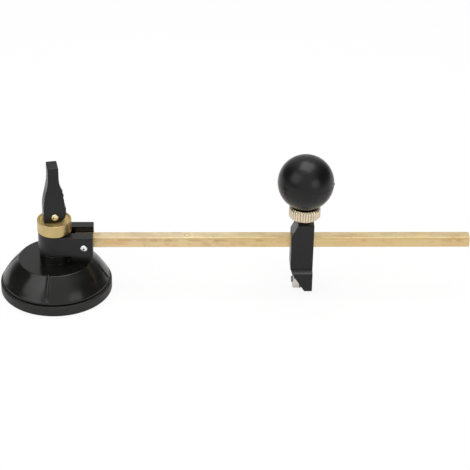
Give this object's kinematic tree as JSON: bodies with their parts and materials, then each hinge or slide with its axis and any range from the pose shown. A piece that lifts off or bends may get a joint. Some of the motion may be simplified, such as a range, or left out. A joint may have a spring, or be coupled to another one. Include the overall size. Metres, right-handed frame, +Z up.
{
  "type": "circle cutter",
  "caption": "Circle cutter for glass: a suction cup with a cam lever at the centre, a square bar that swings and tilts, and a clamped head with a wheel turret and a ball handle.",
  "frame": {"origin": "on the suction cup's axis, in the plane of the glass that it sticks to", "axes": "+X along the bar from the cup to its free end, +Z up from the glass, +Y across the bar to the back"},
  "size_m": [0.2555, 0.0606, 0.0807],
  "materials": {
    "cup_rubber": "matt moulded black rubber",
    "housing_plastic": "matt moulded black plastic, faintly glossy on the edges",
    "black_plastic": "satin moulded black plastic",
    "ball_plastic": "satin black plastic with a moulding seam",
    "bar_brass": "drawn brass, slightly tarnished",
    "collar_brass": "turned matt brass",
    "pin_brass": "bright turned brass",
    "nut_nickel": "warm nickel plate on a straight knurl",
    "stud_steel": "yellow passivated steel thread",
    "turret_steel": "bright turned steel",
    "bright_steel": "bright steel",
    "wheel_carbide": "ground carbide"
  },
  "bodies": {
    "cup": {"rubber_cup": "cup_rubber", "bell_housing": "housing_plastic", "brass_collar": "collar_brass"},
    "stud": {"draw_stud": "bright_steel", "lever_pin": "pin_brass"},
    "lever": {"cam_lever": "black_plastic"},
    "arm": {"arm_holder": "black_plastic", "bar_pin": "bright_steel"},
    "bar": {"brass_bar": "bar_brass"},
    "head": {"head_block": "black_plastic", "thread_insert": "pin_brass", "turret_screw": "bright_steel", "turret_washer": "bright_steel"},
    "pad": {"clamp_pad": "pin_brass"},
    "clamp": {"clamp_stud": "stud_steel", "knurled_nut": "nut_nickel"},
    "ball": {"ball_handle": "ball_plastic", "ball_bush": "pin_brass"},
    "turret": {"wheel_turret": "turret_steel", "wheel_pin_1": "bright_steel", "wheel_pin_2": "bright_steel", "wheel_pin_3": "bright_steel", "wheel_pin_4": "bright_steel", "wheel_pin_5": "bright_steel", "wheel_pin_6": "bright_steel"},
    "wheel_body_1": {"wheel_1": "wheel_carbide"},
    "wheel_body_2": {"wheel_2": "wheel_carbide"},
    "wheel_body_3": {"wheel_3": "wheel_carbide"},
    "wheel_body_4": {"wheel_4": "wheel_carbide"},
    "wheel_body_5": {"wheel_5": "wheel_carbide"},
    "wheel_body_6": {"wheel_6": "wheel_carbide"}
  },
  "joints": [
    {"name": "stud_lift", "type": "slide", "parent": "cup", "child": "stud", "axis": [0, 0, 1], "range_m": [0, 0.003], "deforming": ["rubber_cup"]},
    {"name": "lever_flip", "type": "hinge", "parent": "stud", "child": "lever", "pos_m": [0, 0, 0.0462], "axis": [-0.1908, 0.9816, 0], "range_deg": [0, 90]},
    {"name": "arm_swing", "type": "hinge", "parent": "cup", "child": "arm", "pos_m": [0, 0, 0.0299], "axis": [0, 0, 1], "continuous": true},
    {"name": "bar_tilt", "type": "hinge", "parent": "arm", "child": "bar", "pos_m": [0.0159, 0, 0.0299], "axis": [0, 1, 0], "range_deg": [-90, 8]},
    {"name": "head_slide", "type": "slide", "parent": "bar", "child": "head", "axis": [-1, 0, 0], "range_m": [-0.083, 0.088]},
    {"name": "pad_lift", "type": "slide", "parent": "head", "child": "pad", "axis": [0, 0, 1], "range_m": [0, 0.002]},
    {"name": "clamp_turn", "type": "hinge", "parent": "pad", "child": "clamp", "pos_m": [0.1348, 0, 0.04], "axis": [0, 0, 1], "range_deg": [0, 720]},
    {"name": "ball_spin", "type": "hinge", "parent": "clamp", "child": "ball", "pos_m": [0.1348, 0, 0.0655], "axis": [0, 0, 1], "continuous": true},
    {"name": "turret_index", "type": "hinge", "parent": "head", "child": "turret", "pos_m": [0.1334, -0.0016, 0.0056], "axis": [1, 0, 0], "continuous": true},
    {"name": "wheel_1_spin", "type": "hinge", "parent": "turret", "child": "wheel_body_1", "pos_m": [0.1334, -0.0016, 0.0016], "axis": [1, 0, 0], "continuous": true},
    {"name": "wheel_2_spin", "type": "hinge", "parent": "turret", "child": "wheel_body_2", "pos_m": [0.1334, 0.00186, 0.0036], "axis": [1, 0, 0], "continuous": true},
    {"name": "wheel_3_spin", "type": "hinge", "parent": "turret", "child": "wheel_body_3", "pos_m": [0.1334, 0.00186, 0.0076], "axis": [1, 0, 0], "continuous": true},
    {"name": "wheel_4_spin", "type": "hinge", "parent": "turret", "child": "wheel_body_4", "pos_m": [0.1334, -0.0016, 0.0096], "axis": [1, 0, 0], "continuous": true},
    {"name": "wheel_5_spin", "type": "hinge", "parent": "turret", "child": "wheel_body_5", "pos_m": [0.1334, -0.00506, 0.0076], "axis": [1, 0, 0], "continuous": true},
    {"name": "wheel_6_spin", "type": "hinge", "parent": "turret", "child": "wheel_body_6", "pos_m": [0.1334, -0.00506, 0.0036], "axis": [1, 0, 0], "continuous": true}
  ],
  "couplings": [
    {"joint": "lever_flip", "follows": "stud_lift", "rad_per_m": 523.6},
    {"joint": "clamp_turn", "follows": "pad_lift", "rad_per_m": 6283.2}
  ]
}
